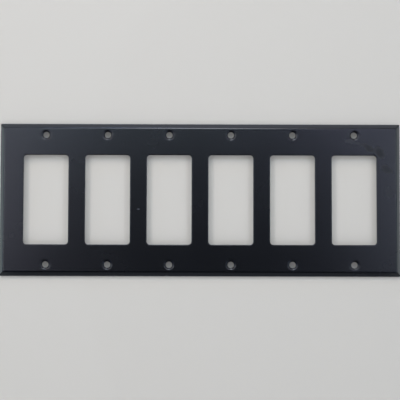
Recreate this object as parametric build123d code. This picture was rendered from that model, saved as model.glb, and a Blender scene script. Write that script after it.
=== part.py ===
from build123d import *
import math
import os

# Wall plate for six rocker devices, pressed from one piece of painted steel sheet.
# Sizes are in millimetres. X runs along the plate, Z is up and the front faces -Y.
# The origin is the middle of the wall plane, y = 0, where the rim's sheared edge rests.

# Gangs, side by side
gang_count = 6
gang_pitch = 46.0375  # centre line to centre line, 1 13/16 in
end_margin = 34.925  # last centre line to the plate's end, half of a one gang plate's 2 3/4 in

# Pressed form
plate_depth = 5.6  # wall to front face
sheet = 0.9
bevel_run = 3.4  # width and depth of the 45 degree bevel, before its bends are rounded
bend_inner_radius = 0.8

# Rocker openings
opening_width = 33.4
opening_height = 66.8
opening_corner_radius = 2.4
opening_edge_break = 0.4  # roll-over that the punch leaves on the front edge, as one face

# Screw holes, dimpled for an oval head
screw_spacing = 96.8375  # upper row to lower row, 3 13/16 in
screw_hole_diameter = 4.76  # 3/16 in
countersink_diameter = 6.4  # where the cone would meet the face without its rounded shoulder
countersink_angle = 82.0
shoulder_radius = 1.8
hole_land = 0.75  # straight wall of the hole below the cone
dimple_to_fold = 0.607  # flat strip left between a dimple and the rim's fold

# Places that follow from the sizes above
cone_half_angle = math.radians(countersink_angle / 2)
cone_slant = (countersink_diameter - screw_hole_diameter) / 2 / math.sin(cone_half_angle)
shoulder_half_turn = (math.pi / 2 - cone_half_angle) / 2
shoulder_reach = min(shoulder_radius * math.tan(shoulder_half_turn), 0.9 * cone_slant)
shoulder_bend = shoulder_reach / math.tan(shoulder_half_turn)  # its radius, limited by the cone
dimple_radius = countersink_diameter / 2 + shoulder_reach
bend_outer_radius = bend_inner_radius + sheet
bevel_half_turn = math.pi / 8
rim_width = bevel_run + bend_outer_radius * math.tan(bevel_half_turn)  # edge to flat face
plate_width = gang_pitch * (gang_count - 1) + 2 * end_margin
plate_height = screw_spacing + 2 * (dimple_radius + dimple_to_fold + rim_width)  # 114.3, 4 1/2 in
face_plane = Plane(origin=(0, -plate_depth, 0), x_dir=(1, 0, 0), z_dir=(0, 1, 0))
tolerance = 0.001


def pressed_block(inset, bend_radius, back):
    # Solid inside one skin of the sheet: the outer skin at inset 0, the inner one at inset sheet
    block = Box(
        plate_width - 2 * inset,
        plate_depth - inset + back,
        plate_height - 2 * inset,
        align=(Align.CENTER, Align.MIN, Align.CENTER),
    )
    block = Pos(0, inset - plate_depth, 0) * block
    front_edges = block.faces().sort_by(Axis.Y)[0].edges()
    block = chamfer(front_edges, bevel_run - inset * (2 - math.sqrt(2)))
    fold, bend = block.edges().filter_by(Plane.XZ).group_by(Axis.Y)[:2]
    return fillet(fold + bend, bend_radius)


def pressed_sheet():
    # The inner skin keeps sharp mitres, so the outer corners are rounded by one sheet thickness
    outer = pressed_block(0, bend_outer_radius, 0)
    mitres = outer.edges().filter_by(Plane.XZ, reverse=True)
    return fillet(mitres, sheet) - pressed_block(sheet, bend_inner_radius, sheet)


def skin_edges(plate, depth):
    # Edges that lie in the flat skin at this depth behind the front face
    level = depth - plate_depth
    return plate.edges().filter_by_position(Axis.Y, level - tolerance, level + tolerance)


def dimples(plate):
    # Each hole's cone is pushed in, so the sheet behind it follows at the same thickness.
    # The bend behind the shoulder is one cone face from end to end of its arc, to keep facets few.
    slope = math.tan(cone_half_angle)
    hole_radius = screw_hole_diameter / 2
    front_radius = countersink_diameter / 2
    back_radius = front_radius + sheet / math.cos(cone_half_angle)
    cone_depth = (front_radius - hole_radius) / slope
    dimple_depth = cone_depth + hole_land
    boss_start = sheet / 2
    boss = Pos(0, 0, boss_start) * Cone(
        back_radius - boss_start * slope,
        back_radius - dimple_depth * slope,
        dimple_depth - boss_start,
        align=(Align.CENTER, Align.CENTER, Align.MIN),
    )
    countersink = Pos(0, 0, -sheet) * Cone(
        front_radius + sheet * slope,
        hole_radius,
        cone_depth + sheet,
        align=(Align.CENTER, Align.CENTER, Align.MIN),
    )
    hole = Cylinder(hole_radius, dimple_depth + sheet, align=(Align.CENTER, Align.CENTER, Align.MIN))
    places = face_plane * GridLocations(gang_pitch, screw_spacing, gang_count, 2)
    plate += [place * boss for place in places]
    plate -= [place * (countersink + hole) for place in places]
    backs = skin_edges(plate, sheet).filter_by(GeomType.CIRCLE)
    plate = chamfer(backs, (shoulder_bend - sheet) * math.tan(shoulder_half_turn))
    mouths = skin_edges(plate, 0).filter_by(GeomType.CIRCLE)
    return fillet(mouths, shoulder_bend)


def openings(plate):
    window = RectangleRounded(opening_width, opening_height, opening_corner_radius)
    punch = extrude(window, sheet, both=True)
    places = face_plane * GridLocations(gang_pitch, 0, gang_count, 1)
    plate -= [place * punch for place in places]
    reach_x = (gang_pitch * (gang_count - 1) + opening_width) / 2
    reach_z = opening_height / 2
    edges = skin_edges(plate, 0).filter_by_position(Axis.X, -reach_x, reach_x)
    edges = edges.filter_by_position(Axis.Z, -reach_z, reach_z)
    return chamfer(edges, min(opening_edge_break, sheet / 2))


wall_plate = openings(dimples(pressed_sheet()))

os.makedirs("parts", exist_ok=True)
export_step(wall_plate, "parts/wall_plate.step")
print("wall_plate", wall_plate.is_valid, round(wall_plate.volume, 1), "mm3")
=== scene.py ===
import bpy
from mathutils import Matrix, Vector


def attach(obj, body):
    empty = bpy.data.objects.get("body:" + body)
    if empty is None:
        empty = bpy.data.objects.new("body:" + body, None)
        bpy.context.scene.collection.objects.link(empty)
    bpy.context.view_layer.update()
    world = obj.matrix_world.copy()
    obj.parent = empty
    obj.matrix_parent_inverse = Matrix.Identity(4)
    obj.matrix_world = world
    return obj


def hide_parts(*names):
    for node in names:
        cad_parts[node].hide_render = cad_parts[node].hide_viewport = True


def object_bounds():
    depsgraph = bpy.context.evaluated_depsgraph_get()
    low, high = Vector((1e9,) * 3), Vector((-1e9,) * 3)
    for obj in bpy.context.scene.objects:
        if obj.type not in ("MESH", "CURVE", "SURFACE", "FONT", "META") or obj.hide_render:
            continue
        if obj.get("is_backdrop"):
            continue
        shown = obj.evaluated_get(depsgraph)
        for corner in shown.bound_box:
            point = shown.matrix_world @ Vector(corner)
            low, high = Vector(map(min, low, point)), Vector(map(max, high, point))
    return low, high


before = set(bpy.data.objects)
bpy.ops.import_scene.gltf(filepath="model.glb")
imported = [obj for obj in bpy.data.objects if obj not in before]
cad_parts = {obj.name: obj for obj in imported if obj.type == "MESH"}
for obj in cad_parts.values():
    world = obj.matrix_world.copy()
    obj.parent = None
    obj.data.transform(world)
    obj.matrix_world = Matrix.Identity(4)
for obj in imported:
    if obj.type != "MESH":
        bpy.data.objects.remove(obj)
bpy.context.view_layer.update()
import math
import bpy
from mathutils import Matrix, Vector

# Six gang rocker wall plate, bare, on a pale wall.
# Metres, X along the plate, Z up, the front faces -Y, the wall plane is y = 0.

mm = 0.001
scene = bpy.context.scene
scene.view_settings.view_transform = "Standard"


def toLinear(hexColour):
    # sRGB hex to the linear values that shaders work in
    channels = [int(hexColour[i:i + 2], 16) / 255 for i in (1, 3, 5)]
    linear = [c / 12.92 if c <= 0.04045 else ((c + 0.055) / 1.055) ** 2.4 for c in channels]
    return (*linear, 1.0)


def addNode(tree, kind, settings=None, links=None):
    # links holds a socket, a node (its first output) or a plain value for each input
    node = tree.nodes.new(kind)
    for name, value in (settings or {}).items():
        setattr(node, name, value)
    for key, value in (links or {}).items():
        if isinstance(value, bpy.types.Node):
            value = value.outputs[0]
        if isinstance(value, bpy.types.NodeSocket):
            tree.links.new(value, node.inputs[key])
        else:
            node.inputs[key].default_value = value
    return node


# The plate, as one pressed sheet
# Plan of every tree: X and Y lie in the plate, Z is the height above the wall.
plate = {
    "Gangs": 6,
    "Pitch": 46.0375 * mm,
    "Width": 300.0375 * mm,
    "Height": 114.3 * mm,
    "Depth": 5.6 * mm,
    "Sheet": 0.9 * mm,
    "Bevel Run": 3.4 * mm,
    "Inner Bend": 0.8 * mm,
    "Opening Width": 33.4 * mm,
    "Opening Height": 66.8 * mm,
    "Opening Corner": 2.4 * mm,
    "Opening Roll": 0.6 * mm,  # rounding that the punch leaves on the front edge
    "Screw Spacing": 96.8375 * mm,
    "Hole Radius": 2.38 * mm,
    "Countersink Radius": 3.2 * mm,
    "Countersink Half Angle": math.radians(41),
    "Shoulder": 1.8 * mm,
    "Hole Land": 0.75 * mm,
    "Edge Round": 0.1 * mm,  # paint build on a sheared edge
    "Lap": 0.05 * mm,  # flat strip that each formed edge brings with it
}
making = {
    "weld": 0.001 * mm,  # points closer than this become one
    "softBend": math.radians(40),  # bends below this are shaded smooth
    "flatLead": 100,  # how strongly the large flat faces lead the shading
}


# Satin powder coat on pressed steel
# The real one is polyester powder baked on steel: a dielectric skin over a dead black pigment, with a
# fine orange peel that breaks up each reflection. It gives soft wide highlights and no mirror image.
coat = {
    "black": "#050608",
    "greyer": "#08090b",
    "roughness": 0.27,
    "cloudSize": 35 * mm,
    "cloudiness": 0.006,  # how far the roughness drifts across the face
    "dulled": 0.45,  # how much rougher a handled place is
    "fray": 4 * mm,  # how far a smudge's outline wanders
    "markReach": 0.5 * mm,  # how far behind the face a mark goes
    "peelWidth": 1.1 * mm,  # real peel is about 0.5 mm, drawn coarser so that it shows
    "peelHeight": 0.006 * mm,
}
# places where handling has left the coat dull: middle, half length and half width in mm, lean in degrees
smudges = {
    "below the last screw": {"x": 112.2, "z": 43.7, "long": 3.6, "wide": 1.5, "lean": 18, "deep": 0.4},
    "trail": {"x": 119.5, "z": 42.0, "long": 5.0, "wide": 1.1, "lean": 14, "deep": 0.25},
    "between": {"x": 125.9, "z": 39.3, "long": 5.2, "wide": 2.2, "lean": 40, "deep": 0.95},
    "at the corner": {"x": 134.4, "z": 35.6, "long": 4.6, "wide": 3.3, "lean": 50, "deep": 1.0},
    "on the margin": {"x": 139.3, "z": 23.0, "long": 4.2, "wide": 2.3, "lean": 25, "deep": 0.85},
    "lower margin": {"x": 141.0, "z": 6.0, "long": 4.5, "wide": 2.2, "lean": 80, "deep": 0.3},
}
# a short light scratch, placed and measured as the smudges are
scuff = {"x": -45.9, "z": -7.0, "long": 1.15, "wide": 0.22, "bare": "#6a6d72"}


def satinCoat():
    material = bpy.data.materials.new("satin_powder_coat_on_steel")
    material.use_nodes = True
    tree = material.node_tree
    tree.nodes.clear()
    place = addNode(tree, "ShaderNodeTexCoord").outputs["Object"]
    cloud = addNode(tree, "ShaderNodeTexNoise", None, {
        "Vector": place, "Scale": 1 / coat["cloudSize"], "Detail": 3.0})
    wander = addNode(tree, "ShaderNodeTexNoise", None, {
        "Vector": place, "Scale": 1 / coat["fray"], "Detail": 2.0})
    centred = addNode(tree, "ShaderNodeVectorMath", {"operation": "SUBTRACT"}, {
        0: wander.outputs["Color"], 1: (0.5, 0.5, 0.5)})
    blurred = addNode(tree, "ShaderNodeVectorMath", {"operation": "MULTIPLY_ADD"}, {
        0: centred, 1: (coat["fray"], 0, coat["fray"]), 2: place})
    handled = 0.0
    faceY = -plate["Depth"]
    for spot in smudges.values():
        # the local place in the smudge is 1 long at its rim, and the back of the sheet lies outside it
        local = addNode(tree, "ShaderNodeMapping", {"vector_type": "TEXTURE"}, {
            "Vector": blurred, "Location": (spot["x"] * mm, faceY, spot["z"] * mm),
            "Rotation": (0, math.radians(spot["lean"]), 0),
            "Scale": (spot["long"] * mm, coat["markReach"], spot["wide"] * mm)})
        away = addNode(tree, "ShaderNodeVectorMath", {"operation": "LENGTH"}, {0: local})
        mark = addNode(tree, "ShaderNodeMapRange", {"interpolation_type": "SMOOTHSTEP"}, {
            "Value": away.outputs["Value"], "From Min": 1.2, "From Max": 0.5,
            "To Min": 0.0, "To Max": spot["deep"]})
        handled = addNode(tree, "ShaderNodeMath", {"operation": "MAXIMUM"}, {0: mark, 1: handled})
    drift = addNode(tree, "ShaderNodeMapRange", None, {
        "Value": cloud.outputs["Fac"], "From Min": 0.3, "From Max": 0.7,
        "To Min": coat["roughness"] - coat["cloudiness"], "To Max": coat["roughness"] + coat["cloudiness"]})
    roughness = addNode(tree, "ShaderNodeMath", {"operation": "MULTIPLY_ADD"}, {
        0: handled, 1: coat["dulled"], 2: drift})
    tone = addNode(tree, "ShaderNodeMix", {"data_type": "RGBA"}, {
        0: cloud.outputs["Fac"], 6: toLinear(coat["black"]), 7: toLinear(coat["greyer"])})
    scratched = addNode(tree, "ShaderNodeMapping", {"vector_type": "TEXTURE"}, {
        "Vector": place, "Location": (scuff["x"] * mm, faceY, scuff["z"] * mm),
        "Scale": (scuff["long"] * mm, coat["markReach"], scuff["wide"] * mm)})
    away = addNode(tree, "ShaderNodeVectorMath", {"operation": "LENGTH"}, {0: scratched})
    bare = addNode(tree, "ShaderNodeMapRange", {"interpolation_type": "SMOOTHSTEP"}, {
        "Value": away.outputs["Value"], "From Min": 1.0, "From Max": 0.6})
    colour = addNode(tree, "ShaderNodeMix", {"data_type": "RGBA"}, {
        0: bare, 6: tone.outputs[2], 7: toLinear(scuff["bare"])})
    peel = addNode(tree, "ShaderNodeTexNoise", None, {
        "Vector": place, "Scale": 1 / coat["peelWidth"], "Detail": 1.5, "Roughness": 0.4})
    bump = addNode(tree, "ShaderNodeBump", None, {
        "Height": peel.outputs["Fac"], "Distance": coat["peelHeight"], "Strength": 1.0})
    shader = addNode(tree, "ShaderNodeBsdfPrincipled", None, {
        "Base Color": colour.outputs[2], "Roughness": roughness, "IOR": 1.5, "Normal": bump})
    addNode(tree, "ShaderNodeOutputMaterial", None, {"Surface": shader})
    return material


blackCoat = satinCoat()
print("coat made")


def loopSkinTree():
    # Carries a profile round a rounded rectangle. Profile X is the offset outwards, profile Y the height.
    tree = bpy.data.node_groups.new("profile_round_a_loop", "GeometryNodeTree")
    tree.interface.new_socket("Profile", in_out="INPUT", socket_type="NodeSocketGeometry")
    for name in ("Half Width", "Half Height", "Corner Radius"):
        tree.interface.new_socket(name, in_out="INPUT", socket_type="NodeSocketFloat")
    tree.interface.new_socket("Corner Segments", in_out="INPUT", socket_type="NodeSocketInt")
    tree.interface.new_socket("Skin", in_out="OUTPUT", socket_type="NodeSocketGeometry")
    given = addNode(tree, "NodeGroupInput").outputs
    rows = addNode(tree, "GeometryNodeAttributeDomainSize", {"component": "CURVE"}, {0: given["Profile"]})
    stops = addNode(tree, "FunctionNodeIntegerMath", {"operation": "ADD"}, {
        0: given["Corner Segments"], 1: 1})
    columns = addNode(tree, "FunctionNodeIntegerMath", {"operation": "MULTIPLY_ADD"}, {0: stops, 1: 4, 2: 1})
    grid = addNode(tree, "GeometryNodeMeshGrid", None, {
        "Vertices X": columns, "Vertices Y": rows.outputs["Point Count"]})
    index = addNode(tree, "GeometryNodeInputIndex")
    column = addNode(tree, "FunctionNodeIntegerMath", {"operation": "DIVIDE_FLOOR"}, {
        0: index, 1: rows.outputs["Point Count"]})
    row = addNode(tree, "FunctionNodeIntegerMath", {"operation": "MODULO"}, {
        0: index, 1: rows.outputs["Point Count"]})
    corner = addNode(tree, "FunctionNodeIntegerMath", {"operation": "DIVIDE_FLOOR"}, {0: column, 1: stops})
    stop = addNode(tree, "FunctionNodeIntegerMath", {"operation": "MODULO"}, {0: column, 1: stops})
    share = addNode(tree, "ShaderNodeMath", {"operation": "DIVIDE"}, {0: stop, 1: given["Corner Segments"]})
    turn = addNode(tree, "ShaderNodeMath", {"operation": "ADD"}, {0: corner, 1: share})
    angle = addNode(tree, "ShaderNodeMath", {"operation": "MULTIPLY"}, {0: turn, 1: math.pi / 2})
    middle = addNode(tree, "ShaderNodeMath", {"operation": "MULTIPLY_ADD"}, {
        0: corner, 1: math.pi / 2, 2: math.pi / 4})
    point = addNode(tree, "GeometryNodeSampleIndex", {"data_type": "FLOAT_VECTOR"}, {
        "Geometry": given["Profile"], "Value": addNode(tree, "GeometryNodeInputPosition"), "Index": row})
    radius = addNode(tree, "GeometryNodeSampleIndex", {"data_type": "FLOAT"}, {
        "Geometry": given["Profile"], "Value": given["Corner Radius"], "Index": row})
    across = addNode(tree, "ShaderNodeSeparateXYZ", None, {0: point})
    reach = addNode(tree, "ShaderNodeMath", {"operation": "SUBTRACT"}, {0: across.outputs["X"], 1: radius})
    place = addNode(tree, "ShaderNodeCombineXYZ", None, {"Z": across.outputs["Y"]})
    for axis, side, wave in (("X", "Half Width", "COSINE"), ("Y", "Half Height", "SINE")):
        towards = addNode(tree, "ShaderNodeMath", {"operation": wave}, {0: middle})
        sign = addNode(tree, "ShaderNodeMath", {"operation": "SIGN"}, {0: towards})
        core = addNode(tree, "ShaderNodeMath", {"operation": "ADD"}, {0: given[side], 1: reach})
        flank = addNode(tree, "ShaderNodeMath", {"operation": "MULTIPLY"}, {0: core, 1: sign})
        around = addNode(tree, "ShaderNodeMath", {"operation": wave}, {0: angle})
        edge = addNode(tree, "ShaderNodeMath", {"operation": "MULTIPLY_ADD"}, {
            0: around, 1: radius, 2: flank})
        tree.links.new(edge.outputs[0], place.inputs[axis])
    skin = addNode(tree, "GeometryNodeSetPosition", None, {"Geometry": grid, "Position": place})
    addNode(tree, "NodeGroupOutput", None, {"Skin": skin})
    return tree


def pressedPlateTree():
    loopSkin = loopSkinTree()
    tree = bpy.data.node_groups.new("pressed_plate", "GeometryNodeTree")
    tree.interface.new_socket("Geometry", in_out="INPUT", socket_type="NodeSocketGeometry")
    for name, value in plate.items():
        kind = "NodeSocketInt" if name == "Gangs" else "NodeSocketFloat"
        tree.interface.new_socket(name, in_out="INPUT", socket_type=kind)
    tree.interface.new_socket("Coat", in_out="INPUT", socket_type="NodeSocketMaterial")
    tree.interface.new_socket("Geometry", in_out="OUTPUT", socket_type="NodeSocketGeometry")
    given = addNode(tree, "NodeGroupInput").outputs
    size = {name: given[name] for name in plate}
    size["zero"] = 0.0

    # sizes that follow from the given ones, one sum each, with the bevel at 45 degrees
    sums = [
        ("back", "SUBTRACT", "Depth", "Sheet"),
        ("middle level", "MULTIPLY_ADD", "Sheet", -0.5, "Depth"),
        ("outer bend", "ADD", "Inner Bend", "Sheet"),
        ("bend reach", "MULTIPLY_ADD", "outer bend", math.tan(math.pi / 8), "Bevel Run"),
        ("flat start", "ADD", "bend reach", "Lap"),
        ("flat inset", "MULTIPLY", "flat start", -1.0),
        ("fold inset", "MULTIPLY", "Bevel Run", -1.0),
        ("bevel foot", "SUBTRACT", "Depth", "Bevel Run"),
        ("sheet inset", "MULTIPLY", "Sheet", -1.0),
        ("inner leg", "MULTIPLY_ADD", "Sheet", math.sqrt(2) - 2, "Bevel Run"),
        ("inner fold inset", "SUBTRACT", "sheet inset", "inner leg"),
        ("inner foot", "SUBTRACT", "back", "inner leg"),
        ("half width", "MULTIPLY", "Width", 0.5),
        ("half height", "MULTIPLY", "Height", 0.5),
        ("opening half width", "MULTIPLY", "Opening Width", 0.5),
        ("opening half height", "MULTIPLY", "Opening Height", 0.5),
        ("opening start", "MULTIPLY_ADD", "Lap", 2.0, "Opening Roll"),
        ("slope", "TANGENT", "Countersink Half Angle"),
        ("lean", "COSINE", "Countersink Half Angle"),
        ("cone width", "SUBTRACT", "Countersink Radius", "Hole Radius"),
        ("cone depth", "DIVIDE", "cone width", "slope"),
        ("cone foot", "SUBTRACT", "Depth", "cone depth"),
        ("land foot", "SUBTRACT", "cone foot", "Hole Land"),
        ("dimple depth", "ADD", "cone depth", "Hole Land"),
        ("slant", "DIVIDE", "Sheet", "lean"),
        ("back cone radius", "ADD", "Countersink Radius", "slant"),
        ("dimple run", "MULTIPLY", "dimple depth", "slope"),
        ("dimple foot radius", "SUBTRACT", "back cone radius", "dimple run"),
        ("sheet run", "MULTIPLY", "Sheet", "slope"),
        ("back corner radius", "SUBTRACT", "back cone radius", "sheet run"),
        ("shoulder turn", "MULTIPLY_ADD", "Countersink Half Angle", -0.5, math.pi / 4),
        ("shoulder slope", "TANGENT", "shoulder turn"),
        ("shoulder reach", "MULTIPLY_ADD", "Shoulder", "shoulder slope", "Countersink Radius"),
        ("dimple start", "ADD", "shoulder reach", "Lap"),
        ("back bend", "SUBTRACT", "Shoulder", "Sheet"),
        ("screw row", "MULTIPLY", "Screw Spacing", 0.5),
        ("other screw row", "MULTIPLY", "Screw Spacing", -0.5),
        ("last gang", "SUBTRACT", "Gangs", 1.0),
        ("gang run", "MULTIPLY", "Pitch", "last gang"),
        ("first gang", "MULTIPLY", "gang run", -0.5),
    ]
    for name, operation, *terms in sums:
        total = addNode(tree, "ShaderNodeMath", {"operation": operation}, {
            i: size.get(term, term) for i, term in enumerate(terms)})
        size[name] = total.outputs[0]

    # each profile runs so that its faces point out: offset, height, rounding, segments
    profiles = {
        "rim": [
            ("flat inset", "back", "zero", 1),
            ("inner fold inset", "back", "Inner Bend", 5),
            ("sheet inset", "inner foot", "Inner Bend", 5),
            ("sheet inset", "zero", "Edge Round", 3),
            ("zero", "zero", "Edge Round", 3),
            ("zero", "bevel foot", "outer bend", 8),
            ("fold inset", "Depth", "outer bend", 8),
            ("flat inset", "Depth", "zero", 1),
        ],
        "opening": [
            ("opening start", "Depth", "zero", 1),
            ("zero", "Depth", "Opening Roll", 7),
            ("zero", "back", "Edge Round", 3),
            ("opening start", "back", "zero", 1),
        ],
        "dimple": [
            ("dimple start", "Depth", "zero", 1),
            ("Countersink Radius", "Depth", "Shoulder", 10),
            ("Hole Radius", "cone foot", "Edge Round", 3),
            ("Hole Radius", "land foot", "Edge Round", 3),
            ("dimple foot radius", "land foot", "Edge Round", 3),
            ("back corner radius", "back", "back bend", 6),
            ("dimple start", "back", "zero", 1),
        ],
    }
    place = addNode(tree, "GeometryNodeInputPosition")
    offset = addNode(tree, "ShaderNodeSeparateXYZ", None, {0: place})
    tangent = addNode(tree, "ShaderNodeSeparateXYZ", None, {0: addNode(tree, "GeometryNodeInputTangent")})
    # the rim's outer corners are one sheet thick in radius and tighten as the skin leans into the face
    leaning = addNode(tree, "ShaderNodeMath", {"operation": "MULTIPLY"}, {
        0: tangent.outputs["Y"], 1: size["Sheet"]})
    shorn = addNode(tree, "ShaderNodeMath", {"operation": "ADD"}, {
        0: offset.outputs["X"], 1: size["Sheet"]})
    rounder = addNode(tree, "ShaderNodeMath", {"operation": "MAXIMUM"}, {0: leaning, 1: shorn})
    rimCorner = addNode(tree, "ShaderNodeMath", {"operation": "MAXIMUM"}, {0: rounder, 1: 0.0})
    openingCorner = addNode(tree, "ShaderNodeMath", {"operation": "ADD"}, {
        0: offset.outputs["X"], 1: size["Opening Corner"]})
    # each loop has half its width and height, its corner radius and a corner's segments
    loops = {
        "rim": ("half width", "half height", rimCorner, 5),
        "opening": ("opening half width", "opening half height", openingCorner, 10),
        "dimple": ("zero", "zero", offset.outputs["X"], 16),
    }
    skins = {}
    index = addNode(tree, "GeometryNodeInputIndex")
    for name, points in profiles.items():
        spots = addNode(tree, "GeometryNodeIndexSwitch", {"data_type": "VECTOR"}, {0: index})
        rounds = addNode(tree, "GeometryNodeIndexSwitch", {"data_type": "FLOAT"}, {0: index})
        counts = addNode(tree, "GeometryNodeIndexSwitch", {"data_type": "INT"}, {0: index})
        for switch in (spots, rounds, counts):
            for _ in points[2:]:
                switch.index_switch_items.new()
        for i, (across, up, rounding, segments) in enumerate(points, 1):
            spot = addNode(tree, "ShaderNodeCombineXYZ", None, {"X": size[across], "Y": size[up]})
            tree.links.new(spot.outputs[0], spots.inputs[i])
            if rounding != "zero":
                tree.links.new(size[rounding], rounds.inputs[i])
            counts.inputs[i].default_value = segments
        line = addNode(tree, "GeometryNodeMeshLine", None, {"Count": len(points)})
        bent = addNode(tree, "GeometryNodeSetPosition", None, {"Geometry": line, "Position": spots})
        curve = addNode(tree, "GeometryNodeMeshToCurve", None, {"Mesh": bent})
        profile = addNode(tree, "GeometryNodeFilletCurve", {"mode": "POLY"}, {
            "Curve": curve, "Radius": rounds, "Count": counts})
        halfWidth, halfHeight, corner, segments = loops[name]
        skins[name] = addNode(tree, "GeometryNodeGroup", {"node_tree": loopSkin}, {
            "Profile": profile, "Half Width": size[halfWidth], "Half Height": size[halfHeight],
            "Corner Radius": corner, "Corner Segments": segments})

    # one gang is an opening with a dimple above and below, set along the plate
    oneGang = addNode(tree, "GeometryNodeJoinGeometry")
    tree.links.new(skins["opening"].outputs[0], oneGang.inputs[0])
    for row in ("screw row", "other screw row"):
        up = addNode(tree, "ShaderNodeCombineXYZ", None, {"Y": size[row]})
        dimple = addNode(tree, "GeometryNodeTransform", None, {
            "Geometry": skins["dimple"], "Translation": up})
        tree.links.new(dimple.outputs[0], oneGang.inputs[0])
    first = addNode(tree, "ShaderNodeCombineXYZ", None, {"X": size["first gang"]})
    step = addNode(tree, "ShaderNodeCombineXYZ", None, {"X": size["Pitch"]})
    centres = addNode(tree, "GeometryNodeMeshLine", None, {
        "Count": given["Gangs"], "Start Location": first, "Offset": step})
    gangs = addNode(tree, "GeometryNodeInstanceOnPoints", None, {"Points": centres, "Instance": oneGang})
    formed = addNode(tree, "GeometryNodeJoinGeometry")
    separate = addNode(tree, "GeometryNodeRealizeInstances", None, {0: gangs})
    tree.links.new(separate.outputs[0], formed.inputs[0])
    tree.links.new(skins["rim"].outputs[0], formed.inputs[0])
    edges = addNode(tree, "GeometryNodeMergeByDistance", None, {
        "Geometry": formed, "Distance": making["weld"]})

    # the flat skins fill what the formed edges leave open, on the front and on the back
    faces = addNode(tree, "GeometryNodeInputMeshEdgeNeighbors")
    isOpen = addNode(tree, "FunctionNodeCompare", {"data_type": "INT", "operation": "EQUAL"}, {
        "A": faces, "B": 1})
    whole = addNode(tree, "GeometryNodeJoinGeometry")
    tree.links.new(edges.outputs[0], whole.inputs[0])
    for level, operation in (("Depth", "GREATER_THAN"), ("back", "LESS_THAN")):
        side = addNode(tree, "FunctionNodeCompare", {"data_type": "FLOAT", "operation": operation}, {
            "A": addNode(tree, "ShaderNodeSeparateXYZ", None, {0: place}).outputs["Z"],
            "B": size["middle level"]})
        both = addNode(tree, "FunctionNodeBooleanMath", {"operation": "AND"}, {0: isOpen, 1: side})
        rims = addNode(tree, "GeometryNodeMeshToCurve", None, {"Mesh": edges, "Selection": both})
        filled = addNode(tree, "GeometryNodeFillCurve", None, {"Curve": rims})
        spread = addNode(tree, "ShaderNodeCombineXYZ", None, {
            "X": offset.outputs["X"], "Y": offset.outputs["Y"], "Z": size[level]})
        skin = addNode(tree, "GeometryNodeSetPosition", None, {"Geometry": filled, "Position": spread})
        if level == "back":
            skin = addNode(tree, "GeometryNodeFlipFaces", None, {"Mesh": skin})
        tree.links.new(skin.outputs[0], whole.inputs[0])
    closed = addNode(tree, "GeometryNodeMergeByDistance", None, {
        "Geometry": whole, "Distance": making["weld"]})
    bend = addNode(tree, "GeometryNodeInputMeshEdgeAngle")
    soft = addNode(tree, "FunctionNodeCompare", {"data_type": "FLOAT", "operation": "LESS_THAN"}, {
        "A": bend, "B": making["softBend"]})
    allSmooth = addNode(tree, "GeometryNodeSetShadeSmooth", {"domain": "FACE"}, {"Geometry": closed})
    smooth = addNode(tree, "GeometryNodeSetShadeSmooth", {"domain": "EDGE"}, {
        "Geometry": allSmooth, "Shade Smooth": soft})
    upright = addNode(tree, "GeometryNodeTransform", None, {
        "Geometry": smooth, "Rotation": (math.pi / 2, 0, 0)})
    real = addNode(tree, "GeometryNodeRealizeInstances", None, {0: upright})
    coated = addNode(tree, "GeometryNodeSetMaterial", None, {"Geometry": real, "Material": given["Coat"]})
    addNode(tree, "NodeGroupOutput", None, {0: coated})
    return tree


def pressedPlate():
    work = bpy.data.objects.new("plate_work", bpy.data.meshes.new("plate_work"))
    scene.collection.objects.link(work)
    modifier = work.modifiers.new("pressed plate", "NODES")
    modifier.node_group = pressedPlateTree()
    values = {**plate, "Coat": blackCoat}
    for item in modifier.node_group.interface.items_tree:
        if item.in_out == "INPUT" and item.name in values:
            modifier[item.identifier] = values[item.name]
    weighted = work.modifiers.new("flat faces stay flat", "WEIGHTED_NORMAL")
    weighted.keep_sharp = True
    weighted.weight = making["flatLead"]
    graph = bpy.context.evaluated_depsgraph_get()
    mesh = bpy.data.meshes.new_from_object(
        work.evaluated_get(graph), preserve_all_data_layers=True, depsgraph=graph)
    mesh.name = "pressed_plate"
    bpy.data.objects.remove(work)
    piece = bpy.data.objects.new("pressed_plate", mesh)
    scene.collection.objects.link(piece)
    return piece


platePiece = pressedPlate()
print("plate made,", len(platePiece.data.polygons), "faces")
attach(platePiece, "root")
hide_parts("wall_plate")

# Stage: a pale wall close behind the plate and a pale floor
stageLook = {
    "wall": "#b6b1a4",
    "wallGlow": 0.062,  # light that goes between the wall and the plate's back
    "floor": "#dcdcda",
    "floorGlow": 0.16,  # light from the rest of the room
    "gap": 0.4 * mm,
    "floorHeight": -0.25,
    "wallReach": 3,
    "floorReach": 4,
}


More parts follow.
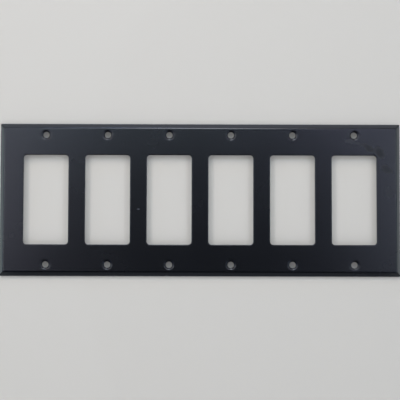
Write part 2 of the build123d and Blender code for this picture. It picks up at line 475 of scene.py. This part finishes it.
def plainStage(name, corners, colour, glow):
    mesh = bpy.data.meshes.new(name)
    mesh.from_pydata(corners, [], [(0, 1, 2, 3)])
    piece = bpy.data.objects.new(name, mesh)
    scene.collection.objects.link(piece)
    material = bpy.data.materials.new(name + "_paint")
    material.use_nodes = True
    tree = material.node_tree
    tree.nodes.clear()
    paint = addNode(tree, "ShaderNodeBsdfDiffuse", None, {"Color": toLinear(colour)})
    faint = addNode(tree, "ShaderNodeEmission", None, {"Strength": glow})
    front = addNode(tree, "ShaderNodeAddShader", None, {0: paint, 1: faint})
    # neither has a back, so that the plate can be seen from behind and from below
    backfacing = addNode(tree, "ShaderNodeNewGeometry").outputs["Backfacing"]
    clear = addNode(tree, "ShaderNodeBsdfTransparent")
    shader = addNode(tree, "ShaderNodeMixShader", None, {0: backfacing, 1: front, 2: clear})
    addNode(tree, "ShaderNodeOutputMaterial", None, {"Surface": shader})
    mesh.materials.append(material)
    piece.visible_glossy = False
    piece.visible_diffuse = name == "floor"
    piece.visible_shadow = False
    piece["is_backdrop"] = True


def buildStage():
    y, z = stageLook["gap"], stageLook["floorHeight"]
    reach = stageLook["wallReach"]
    wall = [(-reach, y, z), (reach, y, z), (reach, y, reach), (-reach, y, reach)]
    plainStage("wall", wall, stageLook["wall"], stageLook["wallGlow"])
    reach = stageLook["floorReach"]
    floor = [(-reach, -reach, z), (reach, -reach, z), (reach, reach, z), (-reach, reach, z)]
    plainStage("floor", floor, stageLook["floor"], stageLook["floorGlow"])


buildStage()
print("stage made")

# Light: soft boxes at the sides and above, dark round the camera, and a few behind for the back
# Azimuth 0 is in front and positive to the right.
softBoxes = {
    "left edge": {
        "azimuth": -16, "elevation": 20, "width": 0.08, "height": 0.36,
        "radiance": 9.93, "colour": "#d3e8ff"},
    "left near": {
        "azimuth": -22, "elevation": 3, "width": 0.12, "height": 0.36,
        "radiance": 2.50, "colour": "#d9d7ff"},
    "left": {
        "azimuth": -34, "elevation": 6, "width": 0.26, "height": 0.45,
        "radiance": 7.20, "colour": "#f4faff"},
    "left far": {
        "azimuth": -72, "elevation": 4, "width": 0.50, "height": 0.50,
        "radiance": 2.40, "colour": "#c2d7ff"},
    "left high": {
        "azimuth": -36, "elevation": 30, "width": 0.36, "height": 0.36,
        "radiance": 6.00, "colour": "#fff1fc"},
    "left low": {
        "azimuth": -40, "elevation": -25, "width": 0.40, "height": 0.40,
        "radiance": 1.33, "colour": "#a2afff"},
    "right edge": {
        "azimuth": 16, "elevation": 20, "width": 0.08, "height": 0.36,
        "radiance": 8.58, "colour": "#d1d5ff"},
    "right near": {
        "azimuth": 22, "elevation": 3, "width": 0.12, "height": 0.36,
        "radiance": 2.77, "colour": "#d6ddff"},
    "right": {
        "azimuth": 34, "elevation": 6, "width": 0.26, "height": 0.45,
        "radiance": 4.60, "colour": "#e5f3ff"},
    "right far": {
        "azimuth": 72, "elevation": 4, "width": 0.50, "height": 0.50,
        "radiance": 1.10, "colour": "#b6daff"},
    "right high": {
        "azimuth": 36, "elevation": 30, "width": 0.36, "height": 0.36,
        "radiance": 3.60, "colour": "#e9e7ff"},
    "right low": {
        "azimuth": 40, "elevation": -25, "width": 0.40, "height": 0.40,
        "radiance": 4.27, "colour": "#cddbff"},
    "low top": {
        "azimuth": 0, "elevation": 25, "width": 0.26, "height": 0.26,
        "radiance": 11.25, "colour": "#d5eaff"},
    "top": {
        "azimuth": 0, "elevation": 46, "width": 0.26, "height": 0.50,
        "radiance": 10.47, "colour": "#fffdfe"},
    "top left": {
        "azimuth": -20, "elevation": 66, "width": 0.30, "height": 0.30,
        "radiance": 7.02, "colour": "#b4cdff"},
    "overhead": {
        "azimuth": 0, "elevation": 88, "width": 0.40, "height": 0.40,
        "radiance": 1.56, "colour": "#e1e0ff"},
    "behind": {
        "azimuth": 180, "elevation": 35, "width": 1.20, "height": 0.70,
        "radiance": 2.00, "colour": "#ffffff"},
    "behind left": {
        "azimuth": -138, "elevation": -4, "width": 0.50, "height": 0.60,
        "radiance": 3.00, "colour": "#e8f0ff"},
    "behind right": {
        "azimuth": 138, "elevation": -4, "width": 0.50, "height": 0.60,
        "radiance": 2.00, "colour": "#e8f0ff"},
}
boxDistance = 1.2
cardDepth = 1.5 * stageLook["gap"]  # just behind the wall, which reflections pass through
# pale cards beside the plate, which only its bevels mirror, and one for its back: X and Z of opposite corners
cards = {
    "card_left": {"from": (-1.0, -0.12), "to": (-0.152, 0.12), "glow": 1.52, "colour": "#ebfdff"},
    "card_right": {"from": (0.152, -0.12), "to": (1.0, 0.12), "glow": 1.24, "colour": "#f0faff"},
    "card_top": {"from": (-0.228, 0.059), "to": (0.228, 1.0), "glow": 1.06, "colour": "#e8efff"},
    "card_bottom": {"from": (-0.228, -1.0), "to": (0.228, -0.059), "glow": 0.45, "colour": "#e0ecff"},
    "card_behind": {"from": (-1.2, -1.0), "to": (1.2, 0.6), "glow": 0.50, "colour": "#eef3ff", "back": 1.0},
}


def softBox(name, box):
    light = bpy.data.lights.new(name, "AREA")
    light.shape = "RECTANGLE"
    light.size, light.size_y = box["width"], box["height"]
    light.energy = box["radiance"] * math.pi * box["width"] * box["height"]
    light.color = toLinear(box["colour"])[:3]
    lamp = bpy.data.objects.new(name, light)
    scene.collection.objects.link(lamp)
    turned, up = math.radians(box["azimuth"]), math.radians(box["elevation"])
    away = Vector((math.sin(turned) * math.cos(up), -math.cos(turned) * math.cos(up), math.sin(up)))
    lamp.location = away * boxDistance
    lamp.rotation_mode = "QUATERNION"
    lamp.rotation_quaternion = away.to_track_quat("Z", "Y")


def reflectorCard(name, card):
    (x0, z0), (x1, z1) = card["from"], card["to"]
    y = card.get("back", cardDepth)
    mesh = bpy.data.meshes.new(name)
    mesh.from_pydata([(x0, y, z0), (x1, y, z0), (x1, y, z1), (x0, y, z1)], [], [(0, 1, 2, 3)])
    piece = bpy.data.objects.new(name, mesh)
    scene.collection.objects.link(piece)
    material = bpy.data.materials.new(name + "_glow")
    material.use_nodes = True
    tree = material.node_tree
    tree.nodes.clear()
    glow = addNode(tree, "ShaderNodeEmission", None, {
        "Color": toLinear(card["colour"]), "Strength": card["glow"]})
    addNode(tree, "ShaderNodeOutputMaterial", None, {"Surface": glow})
    mesh.materials.append(material)
    piece.visible_camera = False
    piece.visible_diffuse = False
    piece.visible_shadow = False
    piece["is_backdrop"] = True


for name, box in softBoxes.items():
    softBox(name, box)
for name, card in cards.items():
    reflectorCard(name, card)

# the room gives no light of its own and looks pale past the stage
roomLight = {"strength": 0.0, "seen": "#d6d8da"}


def room():
    world = bpy.data.worlds.new("room")
    scene.world = world
    world.use_nodes = True
    tree = world.node_tree
    tree.nodes.clear()
    dim = addNode(tree, "ShaderNodeBackground", None, {"Strength": roomLight["strength"]})
    seen = addNode(tree, "ShaderNodeBackground", None, {"Color": toLinear(roomLight["seen"])})
    direct = addNode(tree, "ShaderNodeLightPath").outputs["Is Camera Ray"]
    both = addNode(tree, "ShaderNodeMixShader", None, {0: direct, 1: dim, 2: seen})
    addNode(tree, "ShaderNodeOutputWorld", None, {"Surface": both})


room()
print("lights made")

# Camera: square on, a little below the middle
view = {"distance": 0.63, "elevation": -2.4, "roll": 0.15, "lens": 75.7, "sensor": 36}


def makeCamera():
    data = bpy.data.cameras.new("camera")
    data.lens, data.sensor_width = view["lens"], view["sensor"]
    camera = bpy.data.objects.new("camera", data)
    scene.collection.objects.link(camera)
    low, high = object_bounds()
    up = math.radians(view["elevation"])
    away = Vector((0, -math.cos(up), math.sin(up)))
    camera.location = (low + high) / 2 + away * view["distance"]
    level = away.to_track_quat("Z", "Y").to_matrix().to_4x4()
    turn = level @ Matrix.Rotation(math.radians(view["roll"]), 4, "Z")
    camera.rotation_mode = "QUATERNION"
    camera.rotation_quaternion = turn.to_quaternion()
    scene.camera = camera


makeCamera()
print("camera made")
